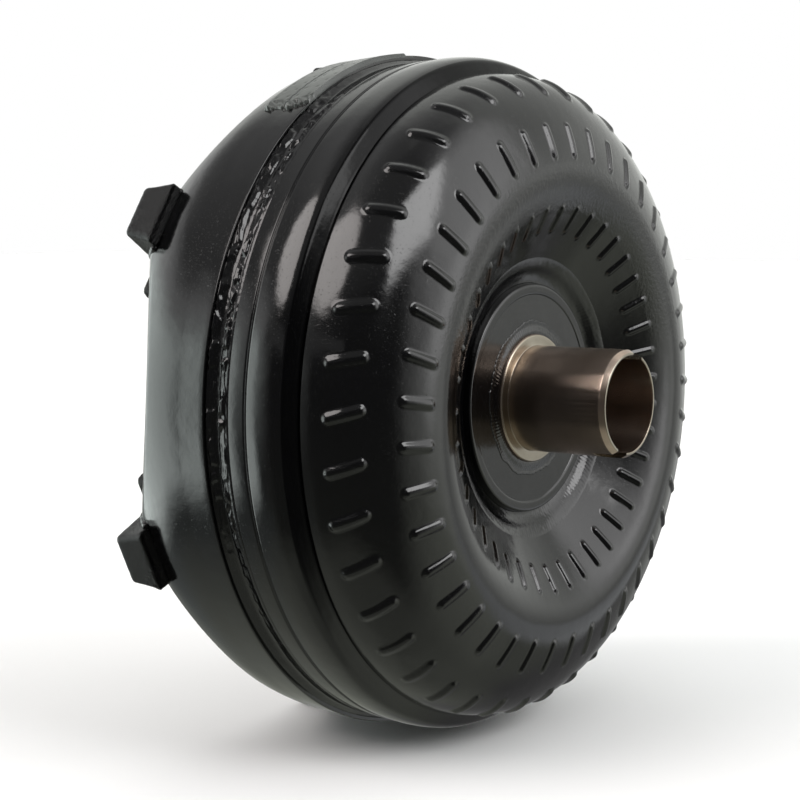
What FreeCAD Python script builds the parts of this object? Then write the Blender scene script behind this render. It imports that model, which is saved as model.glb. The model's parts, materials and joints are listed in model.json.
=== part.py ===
import FreeCAD, Part
import math
import os

from FreeCAD import Vector

# Automatic-transmission torque converter, 310 mm class, with a lock-up clutch, in millimetres.
# The X axis is the converter's own axis: +X points to the transmission (the pump hub), -X to the
# engine, +Z is up. The origin is on the axis in the plane of the six flexplate mounting pads.

# ---- driving dimensions -------------------------------------------------------------------------
hub_r = 23.81             # pump hub outside radius (1.875 in diameter)
hub_bore_r = 21.3
hub_end_x = 174.2         # rear end of the pump hub
notch_width = 8.0         # pump drive notches across the hub end
notch_depth = 12.0
notch_angle = 72.5
pilot_r = 21.63           # crankshaft pilot radius (1.703 in diameter)
pilot_tip_x = -12.0
pilot_neck_r = 21.0       # behind the journal, under the weld
pilot_neck_x = -2.2

lug_count = 6
lug_phase = 26.0          # degrees from +Y toward +Z
lug_thick = 15.4
lug_outer_r = 152.4
lug_inner_r = 131.0
lug_half_width = 12.4
bolt_circle_r = 140.5
lead_in_r = 5.25          # clears an M10 bolt
lead_in_depth = 3.6
tap_r = 4.25              # M10 tapping drill
tap_depth = 12.5
weld_bead_r = 2.0
weight_thick = 1.9

cover_face_x = 3.0        # front face behind the pads
cover_wall = 4.5
cover_edge_x = 63.7       # rear edge of the cover's visible wall
cover_edge_r = 155.2
wall_knee_x = 38.3        # the wall is straight from here to its edge
wall_knee_r = 153.1
tail_r = 149.0            # cover tail that the impeller shell slips over
tail_end_x = 80.0
facet_front = (3.3, 123.9)
facet_back = (23.3, 145.3)

shell_wall = 3.2
skirt_x = 74.4            # front edge of the impeller shell skirt
skirt_r = 152.5
rim_line_x = 83.3
crease = (104.9, 143.8)
shell_edge_r = 59.0       # inner edge of the impeller shell, welded to the hub flange

torus_mid_x = 93.5        # plane between turbine and impeller
torus_mid_r = 99.5
turbine_axial = 45.4      # half axes of the turbine flow passage
turbine_radial = 40.0
core_mid_r = 104.0
core_axial = 22.0         # half axes of the guide core
core_radial = 17.0
core_wall = 1.2
blade_count = 41
turbine_blade_count = 37
blade_foot = 222.0        # where the turbine blades end on the flow ellipse
mid_gap = 1.5             # half the gap between turbine and impeller edges

ridge_phase = 0.0
ridge_height = 1.2

flange_front_x = 114.0
flange_rear_x = 124.6
flange_r = 52.0
collar_r = 28.9
collar_end_x = 126.2

turbine_hub_r = 32.0
piston_fit = 0.05
friction_x = 7.5          # inside face of the cover that the lining locks on
piston_front_x = 10.2
piston_wall = 3.2
piston_r = 117.0
lining_wall = 1.2
tang_inner_r = 105.5
tang_outer_r = 109.0
tang_half_width = 7.0
tang_end_x = 33.0

damper_front_x = 26.5
damper_plate = 3.0
damper_rear_x = 34.5
hub_plate_x = 30.0
hub_plate_wall = 4.0
spring_mid_r = 74.0
spring_x = 32.0
spring_r = 8.5
spring_wire_r = 1.6
spring_length = 40.0
spring_count = 6
window_gap = 0.3
hub_window_half = 26.0    # longer and taller than the spring, so the damper can twist
hub_window_rise = 10.6
spacer_circle_r = 98.0
rivet_r = 2.5
rivet_head = 1.4
turbine_rivet_circle_r = 44.0
turbine_rivet_count = 12

stator_front_x = 82.0
stator_rear_x = 108.0
stator_bore_r = 40.0
stator_hub_r = 59.0
shroud_inner_r = 82.0
shroud_outer_r = 84.5
stator_blade_count = 19
race_front_x = 85.0
race_rear_x = 103.0
inner_race_r = 27.0
inner_race_bore = 17.5
roller_count = 12
roller_r = 3.15
roller_circle_r = 30.25
needle_r = 1.2
needle_count = 24
race_wall = 1.0
bearing_gap = 0.3

REAR = Vector(1, 0, 0)
AXIS_POINT = Vector(0, 0, 0)


# ---- helpers ------------------------------------------------------------------------------------
def flat(x, r):
    """A point of a lathe outline: x along the axis, r away from it."""
    return Vector(x, 0, r)


def lines(points):
    """Straight edges through a list of (x, r) points."""
    return [Part.makeLine(flat(*a), flat(*b)) for a, b in zip(points, points[1:])]


def smooth(points):
    """One smooth edge through a list of (x, r) points."""
    curve = Part.BSplineCurve()
    curve.interpolate([flat(x, r) for x, r in points])
    return curve.toShape()


def arc(start, middle, end):
    return Part.Arc(flat(*start), flat(*middle), flat(*end)).toShape()


def lathe(edges, start=0.0, sweep=360.0):
    """Turn a closed outline about the converter axis, from one angle through a sweep."""
    face = Part.Face(Part.Wire(Part.__sortEdges__(edges)))
    solid = face.revolve(AXIS_POINT, REAR, sweep)
    # the outline lies in the +Z half plane, which is 90 degrees from +Y
    solid.rotate(AXIS_POINT, REAR, start - (90.0 if sweep < 360.0 else 0.0))
    return solid


def turned(points, start=0.0, sweep=360.0):
    """A lathe solid with a straight-sided outline."""
    return lathe(lines(points + points[:1]), start, sweep)


def ring(front, rear, inner, outer):
    return turned([(front, inner), (rear, inner), (rear, outer), (front, outer)])


def around(shape, count, phase=0.0):
    """Copies of a shape made at the +Z side, spread round the axis from an angle after +Y."""
    copies = []
    for k in range(count):
        copy = shape.copy()
        copy.rotate(AXIS_POINT, REAR, phase - 90.0 + 360.0 * k / count)
        copies.append(copy)
    return copies


def block(front, rear, inner, outer, half_width):
    """A plain block on the +Z side of the axis."""
    return Part.makeBox(rear - front, 2 * half_width, outer - inner, Vector(front, -half_width, inner))


def rod(front, rear, radius, circle_r):
    """A cylinder along X whose centre is circle_r above the axis."""
    return Part.makeCylinder(radius, rear - front, Vector(front, 0, circle_r), REAR)


def polar(angle, radius, x=0.0):
    a = math.radians(angle)
    return Vector(x, radius * math.sin(a), radius * math.cos(a))


def spline_bar(front, rear, minor, major, teeth):
    """A toothed bar that cuts an internal spline."""
    pitch = 360.0 / teeth
    points = []
    for k in range(teeth):
        for step, radius in ((-0.30, minor), (-0.22, major), (0.22, major), (0.30, minor)):
            points.append(polar((k + step) * pitch, radius, front))
    wire = Part.makePolygon(points + points[:1])
    return Part.Face(wire).extrude(Vector(rear - front, 0, 0))


def save(name, shape):
    solids = shape if isinstance(shape, list) else [shape]
    whole = solids[0] if len(solids) == 1 else Part.makeCompound(solids)
    if not whole.isValid():
        print("INVALID", name)
    whole.exportStep("parts/" + name + ".step")
    print(name, len(whole.Solids), round(sum(s.Volume for s in whole.Solids) / 1000, 2), "cm3")


# ---- housing: front cover -----------------------------------------------------------------------
def cover_skin():
    """Outer outline of the front cover, from the axis to the edge of its wall."""
    return (lines([(1.5, 0), (1.5, 70), (cover_face_x, 86), (cover_face_x, 130)])
            + [arc((cover_face_x, 130), (4.4, 137.4), (8.3, 141.5))]
            + [smooth([(8.3, 141.5), (18.3, 147.0), (28.3, 150.7), (wall_knee_x, wall_knee_r)])]
            + lines([(wall_knee_x, wall_knee_r), (cover_edge_x, cover_edge_r)]))


def front_cover():
    inside = [(tail_end_x, 145.5), (36, 145.5), (25, 141.2), (friction_x, 122.5), (friction_x, 88),
              (6.0, 72), (6.0, 0)]
    step = [(cover_edge_x, cover_edge_r), (cover_edge_x, tail_r), (tail_end_x, tail_r)]
    body = lathe(cover_skin() + lines(step + inside + [(1.5, 0)]))
    return body.cut(Part.makeCompound(facet_cuts()))


def facet_cuts():
    """Blocks that flatten the shoulder between neighbouring lugs."""
    (x0, r0), (x1, r1) = facet_front, facet_back
    slope = math.degrees(math.atan2(r1 - r0, x1 - x0))
    cutter = Part.makeBox(90, 200, 40, Vector(-45, -100, 0))
    cutter.rotate(AXIS_POINT, Vector(0, 1, 0), -slope)
    cutter.translate(flat((x0 + x1) / 2, (r0 + r1) / 2))
    return around(cutter, lug_count, lug_phase + 180.0 / lug_count)


def crank_pilot():
    return turned([(1.5, 0), (1.5, pilot_neck_r), (pilot_neck_x, pilot_neck_r), (pilot_neck_x, pilot_r),
                   (pilot_tip_x + 3, pilot_r), (pilot_tip_x, pilot_r - 2), (pilot_tip_x, 9),
                   (pilot_tip_x + 5, 6), (pilot_tip_x + 5, 0)])


def pilot_weld():
    return turned([(1.5, pilot_neck_r), (1.5, pilot_r + 3.2), (0.6, pilot_r + 2.4), (-1.4, pilot_r + 0.6),
                   (-2.0, pilot_neck_r)])


def mounting_lugs():
    blank = block(0, lug_thick, lug_inner_r, lug_outer_r, lug_half_width)
    blank = blank.makeFillet(1.4, [e for e in blank.Edges if e.BoundBox.XMax < 0.1])
    outer = [e for e in blank.Edges if e.BoundBox.ZMin > lug_outer_r - 0.1]
    blank = blank.makeChamfer(2.2, [e for e in outer if e.BoundBox.XMin > lug_thick - 0.1])
    envelope = lathe(cover_skin() + lines([(cover_edge_x, cover_edge_r), (cover_edge_x, 0), (1.5, 0)]))
    blank = blank.cut(envelope)
    blank = blank.cut(rod(-1, lead_in_depth, lead_in_r, bolt_circle_r))
    blank = blank.cut(rod(-1, tap_depth, tap_r, bolt_circle_r))
    return around(blank, lug_count, lug_phase)


def lug_welds(cover, lugs):
    """A bead down each side of every lug, lying on the cover's shoulder."""
    start = Vector(4.0, 0, 134.2)
    end = Vector(14.6, 0, 145.4)
    beads = []
    for side in (-1, 1):
        shift = Vector(0, side * (lug_half_width + 0.4), 0)
        bar = Part.makeCylinder(weld_bead_r, (end - start).Length, start + shift, end - start)
        bead = bar.fuse([Part.makeSphere(weld_bead_r, point + shift) for point in (start, end)])
        placed = around(bead, lug_count, lug_phase)
        beads += [copy.cut([cover, lug]) for copy, lug in zip(placed, lugs)]
    return beads


def balance_weight():
    """Two curved strips side by side on the cover wall, against its rear edge."""
    def wall_r(x):
        slope = (cover_edge_r - wall_knee_r) / (cover_edge_x - wall_knee_x)
        return wall_knee_r + (x - wall_knee_x) * slope
    strips = []
    for front, rear, start, sweep in ((39.5, 51.3, 97.0, 27.2), (51.9, 63.5, 94.0, 31.0)):
        outline = [(front, wall_r(front)), (rear, wall_r(rear)), (rear, wall_r(rear) + weight_thick),
                   (front, wall_r(front) + weight_thick)]
        strips.append(turned(outline, start, sweep))
    return strips


# ---- housing: impeller --------------------------------------------------------------------------
def shell_points():
    """Key points of the impeller shell's outside, from the crease over the crest to its inner edge."""
    return [crease, (112.5, 145.2), (123.3, 141.2), (133.3, 131.4), (140.9, 116.5), (144.5, 99.0),
            (141.1, 87.6), (133.4, 74.2), (126.0, 62.0)]


def inward(points, distance):
    """The same run of points moved to the flow side of the shell."""
    moved = []
    for k, (x, r) in enumerate(points):
        xa, ra = points[max(k - 1, 0)]
        xb, rb = points[min(k + 1, len(points) - 1)]
        length = math.hypot(xb - xa, rb - ra)
        moved.append((x + distance * (rb - ra) / length, r - distance * (xb - xa) / length))
    return moved


def shell_inside():
    return inward(shell_points()[1:], shell_wall)


def impeller_shell():
    outside = shell_points()
    inside = shell_inside()
    edges = lines([(tail_end_x + 0.3, 145.5), (tail_end_x + 0.3, tail_r), (skirt_x, tail_r),
                   (skirt_x, skirt_r - 0.6), (skirt_x + 0.6, skirt_r), (rim_line_x - 0.5, skirt_r),
                   (rim_line_x, skirt_r - 0.6), (rim_line_x + 0.5, skirt_r)])
    edges.append(smooth([(rim_line_x + 0.5, skirt_r), (93.3, 153.1), (98.8, 152.5), (103.2, 150.2)]))
    edges += lines([(103.2, 150.2), crease])
    edges.append(smooth(outside))
    edges += lines([outside[-1], (124.5, 61.6), (124.5, shell_edge_r), (flange_front_x, shell_edge_r),
                    (flange_front_x, 60.4), inside[-1]])
    edges.append(smooth(inside))
    edges += lines([inside[0], (97, 142.0), (90, 142.4), (tail_end_x + 0.3, 145.5)])
    return lathe(edges)


def seam_weld():
    """Rounded weld bead between the cover's edge and the impeller skirt."""
    crown = arc((cover_edge_x, 151.4), ((cover_edge_x + skirt_x) / 2, 152.4), (skirt_x, 151.4))
    return lathe([crown] + lines([(skirt_x, 151.4), (skirt_x, tail_r), (cover_edge_x, tail_r),
                                  (cover_edge_x, 151.4)]))


def ridge(start, middle, end, width_r, slant):
    """A raised capsule along the shell outline, turned by a slant about the surface's own normal."""
    points = [flat(x, r) for x, r in inward([start, middle, end], width_r - ridge_height)]
    path = Part.Arc(*points).toShape()
    circle = Part.makeCircle(width_r, points[0], path.tangentAt(path.FirstParameter))
    section = Part.Face(Part.Wire(circle))
    sweep = math.degrees(path.LastParameter - path.FirstParameter)
    tube = section.revolve(path.Curve.Center, path.Curve.Axis, sweep)
    capsule = tube.fuse([Part.makeSphere(width_r, points[0]), Part.makeSphere(width_r, points[2])])
    normal = Vector(end[1] - start[1], 0, start[0] - end[0])
    capsule.rotate(flat(*middle), normal, slant)
    return capsule


def shell_ridges():
    """Three rings of raised ridges on the shell, one of each ring over every blade's tabs."""
    outside = shell_points()
    core = lathe([smooth(outside)] + lines([outside[-1], (126.0, 20), (crease[0], 20), crease]))
    core.rotate(AXIS_POINT, REAR, 170.0)  # keeps the lathe seam away from the ridge that is cut
    rings = [(ridge((117.2, 143.9), (124.0, 140.9), (129.6, 135.7), 3.6, -14.0), ridge_phase + 2.4),
             (ridge((138.4, 122.8), (141.3, 115.2), (143.0, 109.0), 2.8, 5.0), ridge_phase + 0.2),
             (ridge((140.4, 86.2), (137.2, 80.6), (134.2, 75.6), 2.0, 0.0), ridge_phase + 2.8)]
    ridges = []
    for shape, phase in rings:
        ridges += around(shape.cut(core), blade_count, phase)
    return ridges


def ellipse_points(mid_r, axial, radial, start, end, count=9):
    """Points of an ellipse about the torus centre, from one angle to another (0 = +X, 90 = outward)."""
    points = []
    for k in range(count):
        a = math.radians(start + (end - start) * k / (count - 1))
        points.append((torus_mid_x + axial * math.cos(a), mid_r + radial * math.sin(a)))
    return points


def core_angle():
    """Ellipse angle at which the guide core meets the gap at the middle plane."""
    return math.degrees(math.acos(mid_gap / core_axial))


def core_ring(side):
    """Half of the hollow guide core, on the impeller side (+1) or the turbine side (-1)."""
    half = core_angle()
    outer = ellipse_points(core_mid_r, side * core_axial, core_radial, half, -half)
    inner_axial = side * (core_axial - core_wall)
    inner = ellipse_points(core_mid_r, inner_axial, core_radial - core_wall, -half, half)
    ends = lines([outer[-1], inner[0]]) + lines([inner[-1], outer[0]])
    return lathe([smooth(outer), smooth(inner)] + ends)


def impeller_blades():
    """Flat steel blades between the shell and the guide core."""
    inside = shell_inside()
    gap_x = torus_mid_x + mid_gap
    inlet_x = stator_rear_x + 2.0
    core = ellipse_points(core_mid_r, core_axial, core_radial, core_angle(), -42)
    edges = [smooth(inside), smooth(core)]
    edges += lines([core[-1], (inlet_x, 85.0), (inlet_x, 64.0), inside[-1]])
    edges += lines([inside[0], (gap_x, 141.9), core[0]])
    face = Part.Face(Part.Wire(Part.__sortEdges__(edges)))
    blade = face.extrude(Vector(0, 1.0, 0))
    return around(blade, blade_count, ridge_phase)


def pump_hub():
    rim = 2.5
    tube = turned([(flange_front_x, hub_bore_r), (hub_end_x, hub_bore_r), (hub_end_x, hub_r - 1.5),
                   (hub_end_x - rim, hub_r), (collar_end_x, hub_r), (collar_end_x, collar_r - 0.6),
                   (collar_end_x - 0.6, collar_r), (flange_front_x, collar_r)])
    notch = Part.makeBox(notch_depth + 1, notch_width, 4 * hub_r,
                         Vector(hub_end_x - notch_depth, -notch_width / 2, -2 * hub_r))
    notch.rotate(AXIS_POINT, REAR, notch_angle - 90.0)
    return tube.cut(notch)


def hub_flange():
    seat = flange_rear_x - 0.5
    return turned([(flange_front_x, collar_r), (seat, collar_r), (seat, 47.2), (flange_rear_x, 47.7),
                   (flange_rear_x, 51.2), (flange_rear_x - 0.8, flange_r), (flange_front_x, flange_r)])


def hub_weld():
    seat = flange_rear_x - 0.5
    return lathe([arc((seat, 36.0), (seat + 1.1, 33.0), (collar_end_x - 0.9, collar_r))]
                 + lines([(collar_end_x - 0.9, collar_r), (seat, collar_r), (seat, 36.0)]))


def flange_weld():
    return lathe([arc((122.6, flange_r), (123.4, 55.5), (122.6, shell_edge_r))]
                 + lines([(122.6, shell_edge_r), (flange_front_x + 0.5, shell_edge_r),
                          (flange_front_x + 0.5, flange_r), (122.6, flange_r)]))


# ---- turbine ------------------------------------------------------------------------------------
def rivet_holes(circle_r, count, phase, front, rear):
    return Part.makeCompound(around(rod(front, rear, rivet_r, circle_r), count, phase))


def rivet_set(circle_r, count, phase, front, rear, collars=()):
    """Rivets through a stack of plates, with a round head at each end and any collars between."""
    shank = rod(front, rear, rivet_r, circle_r)
    head_r = rivet_r * 1.7
    spans = [(front - rivet_head, front), (rear, rear + rivet_head)] + list(collars)
    wider = [rod(start, end, head_r, circle_r) for start, end in spans]
    return around(shank.fuse(wider).removeSplitter(), count, phase)


def turbine_shell():
    flange_x = 61.0
    sheet = 2.0
    lip = 90.0 + math.degrees(math.asin(mid_gap / turbine_axial))
    outer = ellipse_points(torus_mid_r, turbine_axial + sheet, turbine_radial + sheet, lip, blade_foot)
    inner = ellipse_points(torus_mid_r, turbine_axial, turbine_radial, blade_foot, lip)
    edges = [smooth(outer), smooth(inner)]
    edges += lines([outer[-1], (flange_x, 66), (flange_x, 36.5), (flange_x + sheet, 36.5),
                    (flange_x + sheet, 67), inner[0]])
    edges += lines([inner[-1], outer[0]])
    return lathe(edges).cut(turbine_rivet_holes())


def turbine_rivet_holes():
    return rivet_holes(turbine_rivet_circle_r, turbine_rivet_count, 0.0, 50, 70)


def turbine_blades():
    """Backward-curved sheet blades, trimmed to the passage between turbine shell and guide core."""
    gap = torus_mid_x - mid_gap
    exit_x = stator_front_x - 2.0
    lip = 90.0 + math.degrees(math.asin(mid_gap / turbine_axial))
    shell = ellipse_points(torus_mid_r, turbine_axial, turbine_radial, lip, blade_foot)
    core = ellipse_points(core_mid_r, -core_axial, core_radial, -42, core_angle())
    edges = [smooth(shell), smooth(core)]
    edges += lines([shell[-1], (66.0, 64.5), (exit_x, 61.5), (exit_x, 85.0), core[0]])
    edges += lines([core[-1], shell[0]])
    passage = lathe(edges)
    bend = Part.Arc(Vector(0, 0, 56), Vector(0, 12, 100), Vector(0, 0, 145)).toShape()
    back = Part.Arc(Vector(0, 1, 56), Vector(0, 13, 100), Vector(0, 1, 145)).toShape()
    ends = [Part.makeLine(Vector(0, 0, 145), Vector(0, 1, 145)),
            Part.makeLine(Vector(0, 1, 56), Vector(0, 0, 56))]
    band = Part.Face(Part.Wire(Part.__sortEdges__([bend, back] + ends))).extrude(Vector(110, 0, 0))
    return around(band.common(passage).Solids[0], turbine_blade_count)


def turbine_hub():
    groove = 29.5
    body = turned([(9.4, 13), (9.4, turbine_hub_r), (14.2, turbine_hub_r), (14.2, groove), (16.2, groove),
                   (16.2, turbine_hub_r), (50, turbine_hub_r), (50, 36), (56, 36), (56, 52), (61, 52),
                   (61, 30), (76, 30), (76, 17), (36, 17), (36, 13)])
    body = body.cut(spline_bar(5, 40, 13.9, 15.1, 30))
    return body.cut(turbine_rivet_holes())


def turbine_rivets():
    return rivet_set(turbine_rivet_circle_r, turbine_rivet_count, 0.0, 56.0, 63.0)


def damper_hub_plate():
    plate = ring(hub_plate_x, hub_plate_x + hub_plate_wall, turbine_hub_r, 90.0)
    return plate.cut(spring_windows(hub_window_half, hub_window_rise))


# ---- damper and lock-up piston ------------------------------------------------------------------
def spring_windows(half_length, half_rise):
    cut = block(damper_front_x - 1, damper_rear_x + damper_plate + 1, spring_mid_r - half_rise,
                spring_mid_r + half_rise, half_length)
    return Part.makeCompound(around(cut, spring_count))


def damper_plate_ring(front, outer):
    plate = ring(front, front + damper_plate, 48.0, outer)
    plate = plate.cut(spring_windows(spring_length / 2 + window_gap, spring_r + window_gap))
    return plate.cut(rivet_holes(spacer_circle_r, spring_count, 30.0, 20, 45))


def damper_front_plate():
    slot = block(damper_front_x - 1, damper_front_x + damper_plate + 1, tang_inner_r - 0.5,
                 tang_outer_r + 0.5, tang_half_width + 0.4)
    return damper_plate_ring(damper_front_x, 113.5).cut(Part.makeCompound(around(slot, spring_count)))


def damper_rear_plate():
    return damper_plate_ring(damper_rear_x, 104.0)


def damper_rivets():
    """Each rivet's collar also keeps the two plates apart."""
    return rivet_set(spacer_circle_r, spring_count, 30.0, damper_front_x, damper_rear_x + damper_plate,
                     [(damper_front_x + damper_plate, damper_rear_x)])


def damper_springs():
    """Coil springs that lie along the tangent, one in each window."""
    mean_r = spring_r - spring_wire_r
    height = spring_length - 2 * spring_wire_r
    helix = Part.makeHelix(height / 8, height, mean_r)
    section = Part.Wire(Part.makeCircle(spring_wire_r, Vector(mean_r, 0, 0), Vector(0, 1, 0)))
    coil = Part.Wire(helix.Edges).makePipeShell([section], True, True)
    coil.translate(Vector(0, 0, -height / 2))
    coil.rotate(AXIS_POINT, REAR, 90.0)
    coil.translate(flat(spring_x, spring_mid_r))
    return around(coil, spring_count)


def clutch_piston():
    bore = turbine_hub_r + piston_fit
    rear = piston_front_x + piston_wall
    plate = turned([(piston_front_x, bore), (piston_front_x, piston_r), (rear, piston_r), (rear, 38),
                    (20, 36), (20, bore)])
    tang = block(rear - 0.5, tang_end_x, tang_inner_r, tang_outer_r, tang_half_width)
    return plate.fuse(around(tang, spring_count)).removeSplitter()


def clutch_lining():
    return ring(piston_front_x - lining_wall, piston_front_x, 92.0, 114.0)


# ---- stator -------------------------------------------------------------------------------------
def stator_wheel():
    hub = turned([(stator_front_x, stator_bore_r), (105.6, stator_bore_r), (105.6, 41.5), (107.0, 41.5),
                  (107.0, stator_bore_r), (stator_rear_x, stator_bore_r), (stator_rear_x, stator_hub_r),
                  (stator_front_x, stator_hub_r)])
    pocket = block(stator_front_x - 1, stator_front_x + 8, 44.5, 55.0, 4.0)
    hub = hub.cut(Part.makeCompound(around(pocket, 12)))
    shroud = ring(stator_front_x + 1, stator_rear_x - 1, shroud_inner_r, shroud_outer_r)
    # a cambered section with a thick nose at the turbine side
    nose = [(83.5, -6.5), (85.0, -9.6), (90.0, -8.6), (98.0, -3.2), (106.4, 6.4), (105.4, 7.4),
            (96.0, 2.6), (88.0, -2.0)]
    curve = Part.BSplineCurve()
    curve.interpolate([Vector(x, t, 58.0) for x, t in nose], PeriodicFlag=True)
    blade = Part.Face(Part.Wire(curve.toShape())).extrude(Vector(0, 0, 25.2))
    return hub.fuse([shroud] + around(blade, stator_blade_count)).removeSplitter()


def stator_outer_race():
    """Outer race of the one-way clutch, with a cam pocket for each roller and its spring."""
    race = ring(race_front_x, race_rear_x, 31.6, stator_bore_r)
    seats = around(rod(80, 110, roller_r + 0.3, roller_circle_r), roller_count)
    ramps = around(rod(80, 110, roller_r + 0.1, roller_circle_r - 0.1), roller_count, 9.0)
    return race.cut(Part.makeCompound(seats)).cut(Part.makeCompound(ramps))


def clutch_rollers():
    return around(rod(race_front_x + 0.5, race_rear_x - 0.5, roller_r, roller_circle_r), roller_count)


def roller_springs():
    """A folded leaf behind each roller."""
    front = race_front_x + 2
    rear = race_rear_x - 2
    fold = block(front, rear, roller_circle_r - 2.0, roller_circle_r + 2.0, 0.25)
    leaves = []
    for step in range(3):
        leaves += around(fold, roller_count, 8.6 + 1.7 * step)
    bar = block(front, rear, roller_circle_r + 2.0, roller_circle_r + 2.5, 1.2)
    return leaves + around(bar, roller_count, 10.3)


def stator_inner_race():
    race = ring(race_front_x, race_rear_x, inner_race_bore - 1.0, inner_race_r)
    return race.cut(spline_bar(race_front_x - 1, race_rear_x + 1, inner_race_bore, 18.8, 34))


def stator_front_cap():
    return turned([(81.2, 21), (81.2, 36), (82.2, 36), (82.2, stator_bore_r - 0.1),
                   (race_front_x - bearing_gap, stator_bore_r - 0.1), (race_front_x - bearing_gap, 21)])


def stator_rear_cap():
    start = race_rear_x + bearing_gap
    return turned([(start, 21), (start, stator_bore_r - 0.1), (105.5, stator_bore_r - 0.1), (105.5, 36),
                   (108.8, 36), (108.8, 21)])


def stator_snap_ring():
    return turned([(105.7, 37.2), (106.9, 37.2), (106.9, 41.3), (105.7, 41.3)], 20.0, 340.0)


# ---- thrust bearings ----------------------------------------------------------------------------
def needles(mid_x):
    """Radial needle rollers about a plane across the axis."""
    needle = Part.makeCylinder(needle_r, 8.0, Vector(mid_x, 0, 20.6), Vector(0, 0, 1))
    return around(needle, needle_count)


def needle_cage(mid_x):
    plate = ring(mid_x - 0.5, mid_x + 0.5, 19.0, 30.0)
    window = block(mid_x - 1, mid_x + 1, 20.5, 28.7, needle_r + 0.05)
    return plate.cut(Part.makeCompound(around(window, needle_count)))


def thrust_race(front):
    return ring(front, front + race_wall, 18.5, 30.0)


def build_all():
    front_mid = 76.0 + race_wall + bearing_gap + needle_r
    rear_mid = 108.8 + race_wall + bearing_gap + needle_r
    cover = front_cover()
    lugs = mounting_lugs()
    housing = {"front_cover": cover, "crank_pilot": crank_pilot(), "pilot_weld": pilot_weld(),
               "mounting_lugs": lugs, "lug_welds": lug_welds(cover, lugs),
               "balance_weight": balance_weight(), "seam_weld": seam_weld(),
               "impeller_shell": impeller_shell(), "shell_ridges": shell_ridges(),
               "impeller_blades": impeller_blades(), "impeller_core_ring": core_ring(1),
               "pump_hub": pump_hub(), "hub_flange": hub_flange(), "hub_weld": hub_weld(),
               "flange_weld": flange_weld(),
               "impeller_bearing_race": ring(flange_front_x - race_wall, flange_front_x, 22.0, 33.0)}
    turbine = {"turbine_shell": turbine_shell(), "turbine_blades": turbine_blades(),
               "turbine_core_ring": core_ring(-1), "turbine_hub": turbine_hub(),
               "turbine_rivets": turbine_rivets(), "damper_hub_plate": damper_hub_plate(),
               "piston_seal": ring(14.2, 16.2, 29.5, turbine_hub_r),
               "front_thrust_washer": ring(6.4, 9.4, 20.0, 31.0),
               "turbine_bearing_race": thrust_race(76.0)}
    lockup = {"damper_front_plate": damper_front_plate(), "damper_rear_plate": damper_rear_plate(),
              "damper_rivets": damper_rivets(), "damper_springs": damper_springs(),
              "clutch_piston": clutch_piston(), "clutch_lining": clutch_lining()}
    stator = {"stator_wheel": stator_wheel(), "stator_outer_race": stator_outer_race(),
              "clutch_rollers": clutch_rollers(), "roller_springs": roller_springs(),
              "stator_inner_race": stator_inner_race(), "stator_front_cap": stator_front_cap(),
              "stator_rear_cap": stator_rear_cap(), "stator_snap_ring": stator_snap_ring(),
              "stator_front_race": thrust_race(80.2), "stator_rear_race": thrust_race(108.8)}
    bearings = {"front_needles": needles(front_mid), "front_cage": needle_cage(front_mid),
                "rear_needles": needles(rear_mid), "rear_cage": needle_cage(rear_mid)}
    for group in (housing, turbine, lockup, stator, bearings):
        for name, shape in group.items():
            save(name, shape)


os.makedirs("parts", exist_ok=True)
build_all()
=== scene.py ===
import json
import math
import random

import bmesh
import bpy
import numpy as np
from mathutils import Matrix, Vector, noise


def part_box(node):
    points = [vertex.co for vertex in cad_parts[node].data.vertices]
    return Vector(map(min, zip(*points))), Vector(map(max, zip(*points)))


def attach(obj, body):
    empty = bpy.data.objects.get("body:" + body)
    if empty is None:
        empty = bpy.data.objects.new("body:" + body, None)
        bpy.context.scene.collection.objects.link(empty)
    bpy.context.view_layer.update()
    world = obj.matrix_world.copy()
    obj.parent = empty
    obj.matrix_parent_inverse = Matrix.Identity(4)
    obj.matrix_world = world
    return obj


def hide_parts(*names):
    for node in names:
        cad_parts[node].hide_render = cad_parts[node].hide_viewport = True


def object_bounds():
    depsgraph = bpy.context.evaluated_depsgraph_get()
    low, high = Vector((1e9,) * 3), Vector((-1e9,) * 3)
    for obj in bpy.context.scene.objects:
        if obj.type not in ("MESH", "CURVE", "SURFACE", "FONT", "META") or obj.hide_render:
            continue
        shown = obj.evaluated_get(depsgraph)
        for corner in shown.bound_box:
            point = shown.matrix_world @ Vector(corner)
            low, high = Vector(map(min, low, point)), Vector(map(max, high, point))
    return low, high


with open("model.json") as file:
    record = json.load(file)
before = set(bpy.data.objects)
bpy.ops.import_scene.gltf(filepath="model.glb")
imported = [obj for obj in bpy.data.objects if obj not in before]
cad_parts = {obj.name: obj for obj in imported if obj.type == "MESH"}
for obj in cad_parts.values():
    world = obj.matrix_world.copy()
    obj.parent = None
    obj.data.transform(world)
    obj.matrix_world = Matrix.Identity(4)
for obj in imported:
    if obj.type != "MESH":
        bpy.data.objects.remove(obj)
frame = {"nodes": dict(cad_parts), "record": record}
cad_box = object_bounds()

# Blender works in metres. The outlines below are (x, r) pairs in millimetres: x along the converter's
# own axis, r away from it. Angles are degrees from +Y toward +Z about the axis.
MM = 0.001
rng = random.Random(11)

LUG_COUNT = 6
LUG_PHASE = 26.0                            # angle of the first lug
BLADES = 41                                 # ridges in each ring on the impeller shell
HUB_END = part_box("pump_hub")[1].x * 1000    # open end of the hub tube
WALL_KNEE_X, WALL_KNEE_R = 38.3, 153.1      # where the cover's shoulder runs into its wall
WALL_EDGE_X, WALL_EDGE_R = 63.7, 155.2      # free edge of that wall
SKIRT_X = 74.4                              # front edge of the impeller shell's skirt
PLATE_FRONT_X = 114.0                       # front end of the hub, its flange and their welds
FLANGE_R = 51.98                            # edge of the plate that the hub stands on
COLLAR_R = 28.95                            # outside of the hub's collar, where the flange fits round it


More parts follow.
